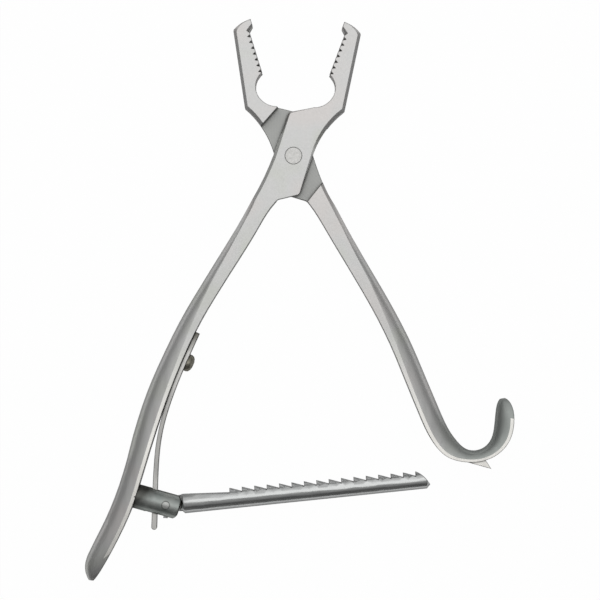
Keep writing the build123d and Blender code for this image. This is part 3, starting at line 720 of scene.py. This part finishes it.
rough = add(tree, "ShaderNodeMapRange", {0: lines.outputs[0], 1: 0.3, 2: 0.7, 3: 0.17, 4: 0.27})
rounded = add(tree, "ShaderNodeBevel", {"Radius": FILED_EDGE}, samples=6)
wavy = add(
    tree,
    "ShaderNodeBump",
    {"Height": waves.outputs[0], "Distance": BAR_WAVE_DEPTH, "Strength": 0.5, "Normal": rounded.outputs[0]},
)
lined = add(
    tree,
    "ShaderNodeBump",
    {"Height": lines.outputs[0], "Distance": POLISH_DEPTH, "Strength": 0.4, "Normal": wavy.outputs[0]},
)
finish_steel(tree, tone.outputs[0], rough.outputs[0], lined.outputs[0])
dress("ratchet_bar", bar_steel)
print("polish lines drawn", POLISH_LINES / MM, "mm wide")

# %% [markdown]
# ## Leaf spring
# The spring is ground carbon steel strip. Its top end is a dark brown, and the rest is bright with fine
# lengthwise grinding.

# %% Ground spring strip with a dark top end
GRIND_LINES = 0.45 * MM
GRIND_STRETCH = 0.08
GRIND_DEPTH = 0.015 * MM
TOP_DARK_PATCH = 4 * MM
TOP_RAGGED = 3.0 * MM
TOP_DARK_START = 9 * MM
TOP_DARK_FULL = 1 * MM

spring_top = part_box("leaf_spring")[1][1]
spring_steel, tree = new_material("ground spring steel strip")
place = add(tree, "ShaderNodeTexCoord").outputs["Object"]
where = add(tree, "ShaderNodeSeparateXYZ", {0: place})
stretched = add(tree, "ShaderNodeMapping", {"Vector": place, "Scale": (1.0, GRIND_STRETCH, 1.0)})
lines = add(
    tree, "ShaderNodeTexNoise", {"Vector": stretched.outputs[0], "Scale": 1 / GRIND_LINES, "Detail": 2.0}
)
stain = add(tree, "ShaderNodeTexNoise", {"Vector": place, "Scale": 1 / TOP_DARK_PATCH, "Detail": 2.0})
tone = add(tree, "ShaderNodeValToRGB", {0: lines.outputs[0]})
set_stops(tone, [(0.3, "#C2C1BE"), (0.7, "#D2D1CE")])
uneven = add(tree, "ShaderNodeMapRange", {0: stain.outputs[0], 3: -TOP_RAGGED, 4: TOP_RAGGED})
height = add(tree, "ShaderNodeMath", {0: where.outputs["Y"], 1: uneven.outputs[0]}, operation="ADD")
# the spring turns dark brown over the last few millimetres of its top end
dark_top = add(
    tree,
    "ShaderNodeMapRange",
    {0: height.outputs[0], 1: spring_top - TOP_DARK_START, 2: spring_top - TOP_DARK_FULL, 4: 0.9},
)
base = add(
    tree,
    "ShaderNodeMix",
    {0: dark_top.outputs[0], 6: tone.outputs[0], 7: colour("#55534A")},
    data_type="RGBA",
)
rough = add(tree, "ShaderNodeMapRange", {0: lines.outputs[0], 1: 0.3, 2: 0.7, 3: 0.3, 4: 0.4})
rounded = add(tree, "ShaderNodeBevel", {"Radius": EDGE_RADIUS}, samples=6)
lined = add(
    tree,
    "ShaderNodeBump",
    {"Height": lines.outputs[0], "Distance": GRIND_DEPTH, "Strength": 0.4, "Normal": rounded.outputs[0]},
)
finish_steel(tree, base.outputs[2], rough.outputs[0], lined.outputs[0])
dress("leaf_spring", spring_steel)
print("spring's top end at y", round(spring_top / MM, 1), "mm")

# %% [markdown]
# ## Spring screw
# The screw was hardened and quenched in oil, and its thin black-brown skin is worn to grey where a
# driver and fingers touch it.

# %% Oil-black screw steel
SKIN_PATCH = 1.6 * MM
SKIN_DEPTH = 0.03 * MM

screw_steel, tree = new_material("oil-quenched screw steel")
place = add(tree, "ShaderNodeTexCoord").outputs["Object"]
skin = add(
    tree, "ShaderNodeTexNoise", {"Vector": place, "Scale": 1 / SKIN_PATCH, "Detail": 4.0, "Roughness": 0.6}
)
tone = add(tree, "ShaderNodeValToRGB", {0: skin.outputs[0]})
set_stops(tone, [(0.35, "#7C7A70"), (0.55, "#8C897D"), (0.72, "#A09D92")])
rough = add(tree, "ShaderNodeMapRange", {0: skin.outputs[0], 1: 0.3, 2: 0.7, 3: 0.42, 4: 0.3})
rounded = add(tree, "ShaderNodeBevel", {"Radius": EDGE_RADIUS}, samples=6)
pitted = add(
    tree,
    "ShaderNodeBump",
    {"Height": skin.outputs[0], "Distance": SKIN_DEPTH, "Strength": 0.4, "Normal": rounded.outputs[0]},
)
finish_steel(tree, tone.outputs[0], rough.outputs[0], pitted.outputs[0])
dress("spring_screw", screw_steel)
print("materials", [m.name for m in bpy.data.materials if m.users])

# %% [markdown]
# Blender only dresses the part. Its box has to stay the CAD model's box.

# %% Finish
print("done")
